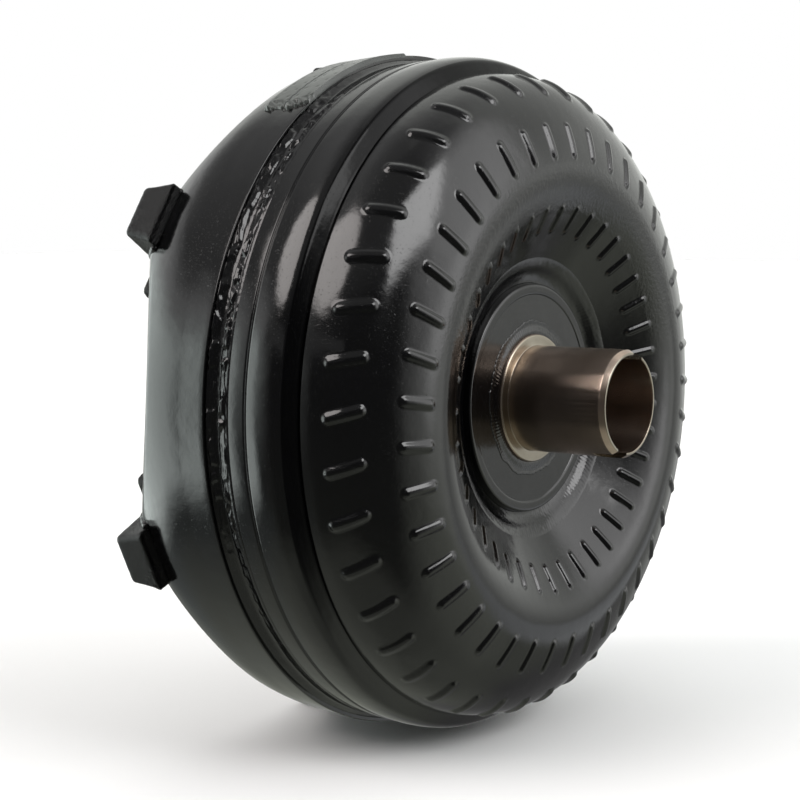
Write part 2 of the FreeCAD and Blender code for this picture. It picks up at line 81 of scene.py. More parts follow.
# ---- mesh helpers -------------------------------------------------------------------------------
def smoothstep(low, high, value):
    t = np.clip((value - low) / (high - low), 0.0, 1.0)
    return t * t * (3 - 2 * t)


def spline(points, step):
    """A smooth run through (x, r) points, resampled about every step millimetres."""
    p = np.array(points, float)
    t = np.r_[0, np.cumsum(np.hypot(*np.diff(p, axis=0).T))]
    n = len(p)
    h = np.diff(t)
    system = np.zeros((n, n))
    right = np.zeros((n, 2))
    system[0, :2] = (2 * h[0], h[0])
    right[0] = 3 * (p[1] - p[0])
    system[-1, -2:] = (h[-1], 2 * h[-1])
    right[-1] = 3 * (p[-1] - p[-2])
    for k in range(1, n - 1):
        system[k, k - 1:k + 2] = (h[k], 2 * (h[k - 1] + h[k]), h[k - 1])
        right[k] = 3 * (h[k] * (p[k] - p[k - 1]) / h[k - 1] + h[k - 1] * (p[k + 1] - p[k]) / h[k])
    slope = np.linalg.solve(system, right)
    out = []
    for k in range(n - 1):
        count = max(2, int(math.ceil(h[k] / step)))
        for i in range(count):
            u = i / count
            a = (2 * u**3 - 3 * u**2 + 1) * p[k] + (u**3 - 2 * u**2 + u) * h[k] * slope[k]
            b = (-2 * u**3 + 3 * u**2) * p[k + 1] + (u**3 - u**2) * h[k] * slope[k + 1]
            out.append(tuple(a + b))
    out.append(tuple(p[-1]))
    return out


def rounded(points, radius, closed=False):
    """Straight runs with every inner corner rounded off by up to the radius."""
    p = [np.array(q, float) for q in points]
    out = []
    last = len(p) - 1
    for k, q in enumerate(p):
        if not closed and k in (0, last):
            out.append(tuple(q))
            continue
        before = p[k - 1]
        after = p[(k + 1) % len(p)]
        a = before - q
        b = after - q
        cut = min(radius, np.hypot(*a) * 0.45, np.hypot(*b) * 0.45)
        a = q + a / np.hypot(*a) * cut
        b = q + b / np.hypot(*b) * cut
        for u in (0.0, 0.25, 0.5, 0.75, 1.0):
            out.append(tuple((1 - u)**2 * a + 2 * u * (1 - u) * q + u**2 * b))
    return out


def filled(points, step):
    """The same run with extra points so that no straight part is longer than the step."""
    out = [points[0]]
    for a, b in zip(points, points[1:]):
        length = math.hypot(b[0] - a[0], b[1] - a[1])
        count = max(1, int(math.ceil(length / step)))
        for i in range(1, count + 1):
            u = i / count
            out.append((a[0] + u * (b[0] - a[0]), a[1] + u * (b[1] - a[1])))
    return out


def outline_normals(points, closed):
    """Unit normals of an outline, to the left of its direction of travel."""
    p = np.array(points, float)
    if closed:
        d = np.roll(p, -1, axis=0) - np.roll(p, 1, axis=0)
    else:
        d = np.gradient(p, axis=0)
    d /= np.maximum(np.hypot(d[:, 0], d[:, 1]), 1e-9)[:, None]
    return np.stack([-d[:, 1], d[:, 0]], -1)


def new_object(name, vertices, faces, materials, slots=None, sharp=40.0):
    mesh = bpy.data.meshes.new(name)
    mesh.from_pydata(vertices, [], faces)
    for material in materials:
        mesh.materials.append(material)
    if slots is not None:
        mesh.polygons.foreach_set("material_index", slots)
    mesh.polygons.foreach_set("use_smooth", [True] * len(mesh.polygons))
    mesh.set_sharp_from_angle(angle=math.radians(sharp))
    mesh.validate()
    obj = bpy.data.objects.new(name, mesh)
    bpy.context.scene.collection.objects.link(obj)
    return obj


def turned(name, outline, columns, materials, shape=None, closed=True, sharp=40.0, slot_of=None):
    """Turns an outline about the X axis in so many columns of faces.

    shape(x, r, angle, normals) may return moved x and r grids, and slot_of(x, r) a material index.
    """
    p = np.array(outline, float)
    angle = 360.0 * np.arange(columns) / columns
    x = np.repeat(p[:, 0][:, None], columns, 1)
    r = np.repeat(p[:, 1][:, None], columns, 1)
    grid_angle = np.repeat(angle[None, :], len(p), 0)
    if shape is not None:
        x, r = shape(x, r, grid_angle, outline_normals(outline, closed))
    a = np.radians(grid_angle)
    v = np.stack([x, r * np.cos(a), r * np.sin(a)], -1).reshape(-1, 3) * MM
    rows = len(p)
    i = np.arange(rows if closed else rows - 1)
    j = np.arange(columns)
    ii, jj = np.meshgrid(i, j, indexing="ij")
    i2 = (ii + 1) % rows
    j2 = (jj + 1) % columns
    faces = np.stack([ii * columns + jj, i2 * columns + jj, i2 * columns + j2, ii * columns + j2], -1)
    faces = faces.reshape(-1, 4)
    slots = None
    if slot_of is not None:
        middle = v[faces].mean(1) / MM
        slots = slot_of(middle[:, 0], np.hypot(middle[:, 1], middle[:, 2])).astype(int)
    obj = new_object(name, v.tolist(), faces.tolist(), materials, slots, sharp)
    if not closed:
        close_ends(obj)
    return obj


def close_ends(obj):
    """Closes the holes that an open outline leaves at the axis and makes the faces look outward."""
    bm = bmesh.new()
    bm.from_mesh(obj.data)
    open_edges = [e for e in bm.edges if e.is_boundary]
    bmesh.ops.holes_fill(bm, edges=open_edges, sides=0)
    bmesh.ops.recalc_face_normals(bm, faces=bm.faces)
    bm.to_mesh(obj.data)
    bm.free()


def outward(obj):
    bm = bmesh.new()
    bm.from_mesh(obj.data)
    bmesh.ops.recalc_face_normals(bm, faces=bm.faces)
    bm.to_mesh(obj.data)
    bm.free()
    return obj


def wobble(x, r, angle, scale, seed=0.0):
    """Smooth noise on the turned surface, the same for the same place, from a few rotated sine waves."""
    a = np.radians(angle)
    y = r * np.cos(a)
    z = r * np.sin(a)
    total = np.zeros_like(y, float)
    draw = np.random.default_rng(int(seed * 7919) + 17)
    for _ in range(9):
        direction = draw.normal(size=3)
        direction /= np.linalg.norm(direction)
        phase = draw.uniform(0, 6.28)
        pitch = scale * draw.uniform(0.6, 1.7)
        total += np.sin((x * direction[0] + y * direction[1] + z * direction[2]) * 6.28 / pitch + phase)
    return total / 4.0


def apply_modifiers(obj):
    bpy.context.view_layer.update()
    graph = bpy.context.evaluated_depsgraph_get()
    mesh = bpy.data.meshes.new_from_object(obj.evaluated_get(graph))
    obj.modifiers.clear()
    obj.data = mesh


def cut_away(obj, cutter, material_mode="INDEX"):
    """Takes the cutter's shape out of the piece, then removes the cutter."""
    cut = obj.modifiers.new("cut", "BOOLEAN")
    cut.operation = "DIFFERENCE"
    cut.solver = "EXACT"
    cut.material_mode = material_mode
    cut.object = cutter
    apply_modifiers(obj)
    bpy.data.objects.remove(cutter)


def joined(name, meshes, material, sharp):
    """One piece out of several closed meshes, all with the same material."""
    bm = bmesh.new()
    for mesh in meshes:
        bm.from_mesh(mesh)
    mesh = bpy.data.meshes.new(name)
    bm.to_mesh(mesh)
    bm.free()
    mesh.materials.clear()
    mesh.materials.append(material)
    mesh.polygons.foreach_set("material_index", [0] * len(mesh.polygons))
    mesh.polygons.foreach_set("use_smooth", [True] * len(mesh.polygons))
    mesh.set_sharp_from_angle(angle=math.radians(sharp))
    obj = bpy.data.objects.new(name, mesh)
    bpy.context.scene.collection.objects.link(obj)
    return obj


def ready(obj, slot, *nodes):
    """Rides a finished piece on the housing and hides the CAD nodes it stands for."""
    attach(obj, "housing")
    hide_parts(*nodes)


# ---- materials ----------------------------------------------------------------------------------
class Tree:
    """Short calls that materials and light share."""

    def add(self, kind, **values):
        node = self.tree.nodes.new(kind)
        for key, value in values.items():
            setattr(node, key, value)
        return node

    def join(self, source, target):
        self.tree.links.new(source, target)

    def ramp(self, factor, stops):
        """A colour ramp through (place, colour or grey level) stops."""
        node = self.add("ShaderNodeValToRGB")
        elements = node.color_ramp.elements
        while len(elements) < len(stops):
            elements.new(0.5)
        for element, (place, colour) in zip(elements, stops):
            element.position = place
            element.color = (*colour, 1.0) if isinstance(colour, tuple) else (colour, colour, colour, 1.0)
        self.join(factor, node.inputs["Fac"])
        return node.outputs["Color"]


class Nodes(Tree):
    """A material's node tree with short calls for the nodes that are used here."""

    def __init__(self, name):
        self.material = bpy.data.materials.new(name)
        self.material.use_nodes = True
        self.tree = self.material.node_tree
        self.shader = self.tree.nodes["Principled BSDF"]
        self.coord = self.tree.nodes.new("ShaderNodeTexCoord").outputs["Object"]

    def noise(self, scale, detail, rough=0.55):
        node = self.add("ShaderNodeTexNoise")
        node.inputs["Scale"].default_value = scale
        node.inputs["Detail"].default_value = detail
        node.inputs["Roughness"].default_value = rough
        self.join(self.coord, node.inputs["Vector"])
        return node.outputs["Fac"]

    def radius(self):
        """Distance from the converter's axis, in metres."""
        split = self.add("ShaderNodeSeparateXYZ")
        self.join(self.coord, split.inputs[0])
        join = self.add("ShaderNodeCombineXYZ")
        self.join(split.outputs["Y"], join.inputs["Y"])
        self.join(split.outputs["Z"], join.inputs["Z"])
        length = self.add("ShaderNodeVectorMath", operation="LENGTH")
        self.join(join.outputs[0], length.inputs[0])
        return length.outputs["Value"], split.outputs["X"]

    def band(self, value, low, high, soft):
        """1 where the value lies between low and high, falling to 0 over the given distance."""
        product = None
        for first, last in ((low - soft, low), (high + soft, high)):
            node = self.add("ShaderNodeMapRange", interpolation_type="SMOOTHSTEP")
            node.inputs["From Min"].default_value = min(first, last)
            node.inputs["From Max"].default_value = max(first, last)
            node.inputs["To Min"].default_value = 0.0 if first < last else 1.0
            node.inputs["To Max"].default_value = 1.0 if first < last else 0.0
            self.join(value, node.inputs["Value"])
            out = node.outputs["Result"]
            product = self.product(product, out) if product else out
        return product

    def product(self, a, b):
        node = self.add("ShaderNodeMath", operation="MULTIPLY")
        self.join(a, node.inputs[0])
        if isinstance(b, float):
            node.inputs[1].default_value = b
        else:
            self.join(b, node.inputs[1])
        return node.outputs[0]

    def lathe_lines(self, scale):
        """Noise that only changes with x and radius, as a turning tool leaves it."""
        radius, x = self.radius()
        both = self.add("ShaderNodeCombineXYZ")
        self.join(x, both.inputs["X"])
        self.join(radius, both.inputs["Y"])
        node = self.add("ShaderNodeTexNoise")
        node.inputs["Scale"].default_value = scale
        node.inputs["Detail"].default_value = 2.0
        node.inputs["Roughness"].default_value = 0.7
        self.join(both.outputs[0], node.inputs["Vector"])
        return node.outputs["Fac"]

    def bump(self, height, distance, strength=1.0, below=None):
        node = self.add("ShaderNodeBump")
        node.inputs["Distance"].default_value = distance
        node.inputs["Strength"].default_value = strength
        self.join(height, node.inputs["Height"])
        if below is not None:
            self.join(below, node.inputs["Normal"])
        return node.outputs["Normal"]

    def set(self, **values):
        for key, value in values.items():
            self.shader.inputs[key.replace("_", " ")].default_value = value

    def wire(self, **sources):
        for key, source in sources.items():
            self.join(source, self.shader.inputs[key.replace("_", " ")])


def paint(name, colour, low, high, peel=1.0, grit=0.0, shell=False):
    """Sprayed paint: uneven gloss between low and high roughness, orange peel and dust nibs.

    grit gives the dull coarse skin of a painted casting, shell the coarser crest skin and the painted shade
    on the steep face of the impeller shell's rim.
    """
    m = Nodes(name)
    darker, lighter = (tuple(c * share for c in colour) for share in (0.8, 1.25))
    tint = m.ramp(m.noise(60, 3), [(0.3, darker), (0.7, lighter)])
    rough = m.ramp(m.noise(38, 5, rough=0.65), [(0.3, low), (0.72, high)])
    waves = m.bump(m.noise(48, 2), 0.0 if grit else 0.00026 * peel)
    skin = m.bump(m.noise(420, 2), 0.00003 * peel, 1.0, waves)
    nibs = m.ramp(m.noise(1300, 2), [(0.66, 0.0), (0.74, 1.0)])
    surface = m.bump(nibs, 0.00004 * peel, 0.6, skin)
    if grit:
        surface = m.bump(m.noise(1100, 6, rough=0.7), 0.00014 * grit, 1.0, surface)
        m.set(Specular_IOR_Level=0.22)
    if shell:
        surface = crest_skin_and_rim_shade(m, surface)
    m.wire(Base_Color=tint, Roughness=rough, Normal=surface)
    m.set(IOR=1.52)
    return m.material


def crest_skin_and_rim_shade(m, surface):
    """Coarser skin along the top of the crest, and painted shade on the steep face of the rim: it reflects
    less there, over the upper part only.
    """
    radius, x = m.radius()
    split = m.add("ShaderNodeSeparateXYZ")
    m.join(m.coord, split.inputs[0])
    height = split.outputs["Z"]
    crest = m.product(m.band(x, 0.1395, 0.16, 0.003), m.band(radius, 0.086, 0.104, 0.004))
    crest = m.product(crest, m.band(height, 0.045, 0.2, 0.04))
    # painted shade: the steep face of the rim reflects about a quarter as much as the rest, above a set
    # height only
    painted_shade_rim = m.product(m.band(x, 0.1012, 0.1047, 0.0004), m.band(height, -0.035, 0.2, 0.06))
    m.wire(Specular_IOR_Level=m.ramp(painted_shade_rim, [(0.0, 0.5), (1.0, 0.12)]))
    return m.bump(m.product(m.noise(620, 3), crest), 0.00022, 1.0, surface)


def steel(name, dark, light, low, high, depth=0.000012, brushed=0.0):
    """Turned or ground metal with fine circular tool marks."""
    m = Nodes(name)
    marks = m.lathe_lines(2600.0)
    tint = m.ramp(m.noise(55, 4), [(0.3, dark), (0.72, light)])
    rough = m.ramp(marks, [(0.3, low), (0.7, high)])
    m.wire(Base_Color=tint, Roughness=rough, Normal=m.bump(marks, depth))
    m.set(Metallic=1.0)
    if brushed:
        around = m.add("ShaderNodeTangent", direction_type="RADIAL", axis="X")
        m.wire(Tangent=around.outputs["Tangent"])
        m.set(Anisotropic=brushed, Anisotropic_Rotation=0.25)
    return m.material


def plain_metal(name, dark, light, low, high, grain=700.0, depth=0.00001):
    """Pressed, drawn or cast metal with an even fine grain."""
    m = Nodes(name)
    grain_out = m.noise(grain, 5, rough=0.65)
    tint = m.ramp(m.noise(70, 4), [(0.3, dark), (0.72, light)])
    rough = m.ramp(grain_out, [(0.3, low), (0.72, high)])
    m.wire(Base_Color=tint, Roughness=rough, Normal=m.bump(grain_out, depth))
    m.set(Metallic=1.0)
    return m.material


def dull(name, dark, light, low, high, depth=0.00003):
    """Moulded or pressed non-metal with a fibrous or grainy face."""
    m = Nodes(name)
    grain_out = m.noise(900, 6, rough=0.7)
    tint = m.ramp(m.noise(260, 5, rough=0.7), [(0.3, dark), (0.75, light)])
    rough = m.ramp(grain_out, [(0.3, low), (0.75, high)])
    m.wire(Base_Color=tint, Roughness=rough, Normal=m.bump(grain_out, depth))
    return m.material


GLOSS = paint("gloss_black_paint", (0.0009, 0.0009, 0.0011), 0.09, 0.17)
SHELL = paint("impeller_black_paint", (0.0009, 0.0009, 0.0011), 0.09, 0.17, shell=True)
SATIN = paint("satin_black_casting", (0.003, 0.003, 0.0032), 0.19, 0.30, grit=3.0)
WELD = paint("painted_weld", (0.0012, 0.0012, 0.0015), 0.07, 0.2, peel=1.6)
PATCH = paint("painted_weights", (0.048, 0.053, 0.049), 0.26, 0.38, peel=1.5)
BRONZE = steel("turned_hub_steel", (0.42, 0.32, 0.255), (0.58, 0.47, 0.39), 0.20, 0.26, depth=0.000004,
               brushed=0.88)
BARE = steel("bare_collar_steel", (0.28, 0.25, 0.20), (0.38, 0.345, 0.285), 0.17, 0.26)
BRIGHT = steel("bright_turned_steel", (0.50, 0.47, 0.44), (0.68, 0.66, 0.64), 0.14, 0.28)
RACE = plain_metal("ground_steel", (0.52, 0.52, 0.53), (0.66, 0.66, 0.67), 0.14, 0.24, grain=1500)
SHEET = plain_metal("pressed_sheet_steel", (0.24, 0.24, 0.25), (0.36, 0.36, 0.37), 0.30, 0.46)
SPRING = plain_metal("spring_steel_wire", (0.12, 0.12, 0.14), (0.22, 0.22, 0.24), 0.26, 0.40)
CAST = plain_metal("cast_aluminium", (0.58, 0.58, 0.57), (0.74, 0.74, 0.73), 0.38, 0.58, grain=1100,
                   depth=0.00004)
FRICTION = dull("friction_paper", (0.13, 0.085, 0.045), (0.25, 0.17, 0.10), 0.78, 0.92, depth=0.00008)
THERMOSET = dull("thermoset_moulding", (0.07, 0.04, 0.025), (0.14, 0.085, 0.055), 0.42, 0.60)
PTFE = dull("filled_ptfe", (0.50, 0.48, 0.42), (0.66, 0.63, 0.56), 0.45, 0.60)

CAD_LOOKS = {
    "gloss_black": GLOSS, "satin_black": SATIN, "dark_weld": WELD, "turned_steel": BRONZE,
    "bright_steel": RACE, "sheet_steel": SHEET, "spring_steel": SPRING, "cast_aluminium": CAST,
    "friction_paper": FRICTION, "thermoset": THERMOSET, "seal_ptfe": PTFE,
}


def dress_cad_nodes():
    slots = {s["node"]: s["material_slot"] for s in frame["record"]["subparts"]}
    for name, obj in frame["nodes"].items():
        look = BRIGHT if name == "crank_pilot" else CAD_LOOKS[slots[name]]
        obj.data.materials.clear()
        obj.data.materials.append(look)


# ---- housing: cover -----------------------------------------------------------------------------
def facet_shape(x, r, angle, normals):
    """Flattens the cover's outer shoulder between lugs, easing softly into each flat."""
    spacing = 360.0 / LUG_COUNT
    off = (angle - LUG_PHASE) % spacing - spacing / 2
    a = np.radians(off)
    (x0, r0), (x1, r1) = (3.3, 123.9), (23.3, 145.3)     # the flat's line, midway between two lugs
    length = math.hypot(x1 - x0, r1 - r0)
    nx, nr = -(r1 - r0) / length, (x1 - x0) / length
    height = r * np.cos(a)
    out = (x - x0) * nx + (height - r0) * nr
    soft = 0.8
    push = 0.5 * (out + np.sqrt(out * out + soft * soft)) - 0.5 * soft * smoothstep(3.0, -3.0, out)
    push = np.where(out > -3.0, np.maximum(push, 0.0), 0.0)
    outer = (normals[:, 1][:, None] > -0.2) & (x < 40.0) & (r > 100.0)
    push = np.where(outer, push, 0.0)
    return x - push * nx, r - push * nr * np.cos(a)


def cover_outline():
    """From the centre of the front face outward, over the shoulder and wall, and back inside."""
    face = rounded([(1.5, 0.6), (1.5, 58), (2.2, 60), (2.2, 70), (3.0, 86), (3.0, 112), (3.0, 130)], 2.0)
    corner = spline([(3.0, 130), (4.4, 137.4), (8.3, 141.5), (18.3, 147), (28.3, 150.7),
                     (WALL_KNEE_X, WALL_KNEE_R), (50, 154.1)], 1.2)
    wall = filled(rounded([(50, 154.1), (WALL_EDGE_X, WALL_EDGE_R), (WALL_EDGE_X + 0.3, 149.0),
                           (80.0, 149.0), (80.0, 145.5)], 0.5), 3.0)
    inside = filled([(80.0, 145.5), (36, 145.5), (25, 141.2), (7.5, 122.5), (7.5, 88), (6.0, 72),
                     (6.0, 0.6)], 6.0)
    return filled(face, 2.5)[:-1] + corner[:-1] + wall[:-1] + inside


def build_cover():
    cover = turned("cover_shell", cover_outline(), 720, [GLOSS], facet_shape, closed=False, sharp=35)
    ready(cover, "gloss_black", "front_cover")


# ---- housing: impeller shell --------------------------------------------------------------------
SHELL_POINTS = [(104.9, 143.8), (112.5, 145.2), (123.3, 141.2), (133.3, 131.4), (140.9, 116.5),
                (144.5, 99.0), (141.1, 87.6), (133.4, 74.2), (126.0, 62.0)]

# each ring: middle of the ridge on the outline, half length, half width, height, slant, phase
RIDGE_RINGS = [
    {"middle": (124.0, 140.9), "half": 9.2, "width": 2.7, "height": 1.2, "slant": 0.245, "phase": 2.4},
    {"middle": (141.3, 115.2), "half": 8.7, "width": 2.35, "height": 1.2, "slant": -0.09, "phase": 0.2},
    {"middle": (137.2, 80.6), "half": 7.3, "width": 1.85, "height": 1.15, "slant": 0.0, "phase": 2.8},
]


def ridge_height(along, angle, r):
    """Height of the raised ridges over the shell's outside, from the distance along its outline."""
    total = np.zeros_like(r)
    spacing = 360.0 / BLADES
    for ring in RIDGE_RINGS:
        index = np.floor((angle - ring["phase"]) / spacing + 0.5).astype(int) % BLADES
        draw = np.random.default_rng(int(ring["middle"][1]))
        lift = 1.0 + 0.10 * draw.uniform(-1, 1, BLADES)[index]
        shift = 0.5 * draw.uniform(-1, 1, BLADES)[index]
        lean = ring["slant"] + 0.03 * draw.uniform(-1, 1, BLADES)[index]
        off = (angle - ring["phase"] + spacing / 2) % spacing - spacing / 2
        across = np.radians(off) * r
        down = along - ring["at"] - shift
        # turn into the ridge's own directions, then the distance to its centre line
        side = across * np.cos(lean) + down * np.sin(lean)
        run = -across * np.sin(lean) + down * np.cos(lean)
        beyond = np.maximum(np.abs(run) - (ring["half"] - ring["width"]), 0.0)
        distance = np.hypot(side, beyond) / ring["width"]
        cap = ring["height"] * lift * (1 - distance**2)
        total += np.where(distance < 1.6, 0.5 * (cap + np.sqrt(cap * cap + 0.02)) - 0.012, 0)
    return total


def spaced(points):
    """Thins a fine outline: close together under the ridges, wider apart elsewhere."""
    kept = [points[0]]
    for point in points[1:-1]:
        near = min(math.dist(point, ring["middle"]) - ring["half"] for ring in RIDGE_RINGS)
        if math.dist(point, kept[-1]) > (0.62 if near < 2.0 else 1.4):
            kept.append(point)
    return kept + [points[-1]]


def shell_outline():
    """The casing's outline and the distance along its torus, far out of range before and after it."""
    front = rounded([(80.3, 149.0), (SKIRT_X, 149.0), (SKIRT_X, 152.2), (82.4, 152.5), (82.9, 152.1),
                     (83.3, 152.45), (83.7, 152.05), (84.3, 152.5)], 0.35)
    rim = spline([(84.3, 152.5), (88.5, 153.0), (93.7, 153.1), (97.3, 152.75), (100.3, 151.85),
                  (101.6, 150.85), (102.5, 149.4), (103.7, 147.1), (104.3, 145.9)], 0.6)
    crease = [(104.5, 145.4), (104.7, 145.1), (104.9, 144.5), (105.1, 144.1), (105.3, 144.3), (105.45, 144.8)]
    start = [(105.6, 145.2), (105.75, 145.4), (106.0, 145.48), (106.4, 145.47), (107.0, 145.44)]
    torus = start + spaced(spline([(107.6, 145.41), (110.5, 145.2), (113.6, 144.7)] + SHELL_POINTS[2:], 0.25))
    edge = rounded([(126.0, 62.0), (124.5, 61.6), (124.5, 59.0), (114.0, 59.0), (114.0, 60.4),
                    (122.6, 63.4)], 0.4)
    sheet = 3.2
    outside = spline(SHELL_POINTS, 6.0)
    normals = outline_normals(outside, False)
    inside = [(x - sheet * n[0], r - sheet * n[1]) for (x, r), n in zip(outside, normals)]
    inside = inside[::-1][1:-2] + [(97, 142.0), (90, 142.4), (80.3, 145.5)]
    points = front[:-1] + rim[:-1] + crease[:-1]
    start = len(points)
    points += torus[:-1]
    stop = len(points)
    points += filled(edge, 3.0)[:-1] + inside
    p = np.array(points)
    steps = np.r_[0, np.hypot(*np.diff(p, axis=0).T)]
    steps[:start + 1] = 0
    along = np.cumsum(steps)
    along[:start] = -1e3
    along[stop:] = 1e6
    for ring in RIDGE_RINGS:
        gap = np.hypot(p[start:stop, 0] - ring["middle"][0], p[start:stop, 1] - ring["middle"][1])
        ring["at"] = along[start + int(gap.argmin())]
    return points, along


def build_shell():
    points, along = shell_outline()

    def shape(x, r, angle, normals):
        rise = ridge_height(along[:, None] + 0 * r, angle, r)
        rise += 0.02 * wobble(x, r, angle, 55, 0.3)
        return x + rise * normals[:, 0][:, None], r + rise * normals[:, 1][:, None]

    shell = turned("impeller_casing", points, BLADES * 30, [SHELL], shape, sharp=38)
    ready(outward(shell), "gloss_black", "impeller_shell", "shell_ridges")


# ---- housing: welds -----------------------------------------------------------------------------
def seam_shape(x, r, angle, _normals):
    """Two ragged strands of glossy weld metal in a dark groove, roughest over the upper left."""
    groove_r, highest_r = 150.0, 154.2
    rough = 0.05 + 0.95 * smoothstep(112, 126, angle) * (1 - smoothstep(182, 208, angle))
    across = (x - WALL_EDGE_X) / (SKIRT_X - WALL_EDGE_X)
    flat = x * 0
    ragged = 0.10 * wobble(x, r, angle, 2.3, 0.3) + 0.05 * wobble(x, r, angle, 1.1, 0.4)
    lift = 0.05 * wobble(x, r, angle, 1.9, 0.2) * rough
    for place, width, size, seed in ((0.66, 0.155, 1.5, 0.31), (0.17, 0.125, 1.1, 0.57)):
        middle = place + 0.05 * wobble(flat, r, angle, 46, seed)
        middle = middle + 0.05 * wobble(flat, r, angle, 12, seed + 0.1)
        broad = width * (1 + 0.35 * wobble(flat, r, angle, 17, seed + 0.2))
        crest = smoothstep(1.15, 0.55, np.abs(across - middle) / broad + ragged)
        grouping = wobble(x * 1.6, r, angle, 11, seed + 0.3) + 0.35 * wobble(x, r, angle, 4, 0.9)
        clumps = smoothstep(-0.35, 0.15, grouping)
        lean = 1 - 0.22 * (across - middle) / broad
        lift = lift + crest * size * rough * (0.25 + 0.75 * clumps) * lean
    return x, r + np.where(r > groove_r, np.minimum(lift, highest_r - r), 0)


def build_seam():
    crown = spline([(WALL_EDGE_X + 0.1, 153.4), (65.0, 152.6), (67.0, 151.5), (69.5, 151.3), (71.6, 151.6),
                    (73.2, 152.0), (SKIRT_X + 0.1, 151.8)], 0.4)
    outline = crown + [(SKIRT_X + 0.1, 149.0), (WALL_EDGE_X + 0.1, 149.0)]
    seam = turned("seam_bead", outline, 1440, [WELD], seam_shape, sharp=60)
    ready(outward(seam), "dark_weld", "seam_weld")


def ring_weld(name, outline, low, node, pitch, height, edge=None):
    """A weld ring whose exposed face ripples along the direction of welding."""
    def shape(x, r, angle, normals):
        top = x > low
        ripple = np.sin(np.radians(angle) * pitch + 0.8 * r) * height
        lumps = wobble(x, r, angle, 2.6, pitch / 100) * height * 0.9
        slow = wobble(x * 0, r, angle, 24, 0.6) * height
        move = np.where(top, ripple + lumps + slow, 0)
        if edge:
            flat, level = x * 0, r * 0 + edge
            stray = 0.9 * wobble(flat, level, angle, 13, 0.2) + 0.35 * wobble(flat, level, angle, 3.0, 0.3)
            r = r + stray * smoothstep(edge - 2.2, edge - 0.6, r)
        return x + move * normals[:, 0][:, None], r + move * normals[:, 1][:, None]
    weld = turned(name, outline, 720, [WELD], shape, sharp=60)
    ready(outward(weld), "dark_weld", node)


def build_ring_welds():
    bead = spline([(123.9, 35.3), (124.25, 35.1), (124.42, 34.7), (124.4, 34.2), (124.3, 33.4), (124.6, 31.5),
                   (124.9, 30.0), (124.8, COLLAR_R)], 0.3)
    ring_weld("hub_bead", bead + [(123.8, COLLAR_R), (123.6, 35.3)], 124.0, "hub_weld", 130, 0.035, edge=34.6)
    # a hollow fillet from beside the flange up to the inner edge of the shell
    crown = spline([(121.2, 52.02), (121.3, 53.0), (121.8, 54.6), (123.0, 56.8), (124.7, 58.9),
                    (125.75, 60.8), (126.6, 62.7), (127.0, 64.1)], 0.5)
    ring_weld("flange_bead", crown + [(125.0, 64.4), (120.0, 58.98), (114.5, 58.98), (114.5, 52.02)], 121.0,
              "flange_weld", 210, 0.03)
    pilot = spline([(-2.0, 21.7), (-1.3, 22.6), (0.4, 24.3), (1.4, 25.4)], 0.4)
    ring_weld("pilot_bead", pilot + [(1.6, 25.0), (1.6, 21.7)], -3.0, "pilot_weld", 90, 0.12)


def build_flange():
    lip = spline([(124.1, 46.6), (124.4, 47.0), (124.6, 47.9), (124.65, 49.3), (124.6, 50.6), (124.2, 51.35),
                  (123.4, 51.62), (121.0, 51.9)], 0.3)
    face_x = 124.1
    outline = [(PLATE_FRONT_X, COLLAR_R), (face_x, COLLAR_R), (face_x, 46.4)] + lip
    outline += [(PLATE_FRONT_X, FLANGE_R)]
    flange = turned("flange_plate", filled(outline + outline[:1], 2.0)[:-1], 360, [GLOSS], sharp=30)
    ready(outward(flange), "gloss_black", "hub_flange")


# ---- housing: hub -------------------------------------------------------------------------------
def build_hub():
    bore = 21.3
    journal = 23.81
    collar_x, collar_r = 126.2, 28.9
    outline = rounded([(PLATE_FRONT_X, bore), (HUB_END, bore), (HUB_END, 22.35), (HUB_END - 2.4, journal),
                       (collar_x, journal), (collar_x, 28.4), (125.6, collar_r),
                       (PLATE_FRONT_X, collar_r)], 0.3, closed=True)

    def slot_of(x, r):
        rim = (x > HUB_END - 0.25) & (r > bore + 0.1)
        collar = (x > 126.0) & (x < 126.6) & (r > 23.9)
        return rim | collar

    hub = turned("pump_hub_tube", filled(outline + outline[:1], 2.0)[:-1], 360, [BRONZE, BARE], sharp=30,
                 slot_of=slot_of)
    outward(hub)
    slot_depth, slot_width, slot_angle = 12.0, 8.0, 72.5
    bpy.ops.mesh.primitive_cube_add(size=1.0)
    cutter = bpy.context.object
    cutter.scale = (2 * slot_depth * MM, slot_width * MM, 60.0 * MM)
    cutter.location = (HUB_END * MM, 0, 0)
    cutter.rotation_euler = (math.radians(slot_angle - 90.0), 0, 0)
    cutter.data.materials.append(BARE)
    cut_away(hub, cutter, "TRANSFER")
    ready(hub, "turned_steel", "pump_hub")


# ---- housing: lugs and their welds --------------------------------------------------------------
LUG_HALF_WIDTH = 12.4
LUG_BASE_R, LUG_TOP_R = 131, 152.4
LUG_REAR_X = 15.2
LUG_HOLE_R = 140.5
LUG_BORES = ((5.25, 3.6), (4.25, 12.5))     # lead-in and tapped hole: radius, depth


def turn_to_lug(k):
    """Turns what was made at the +Z side of the axis to the place of lug k."""
    return Matrix.Rotation(math.radians(LUG_PHASE - 90 + 360 / LUG_COUNT * k), 4, "X")


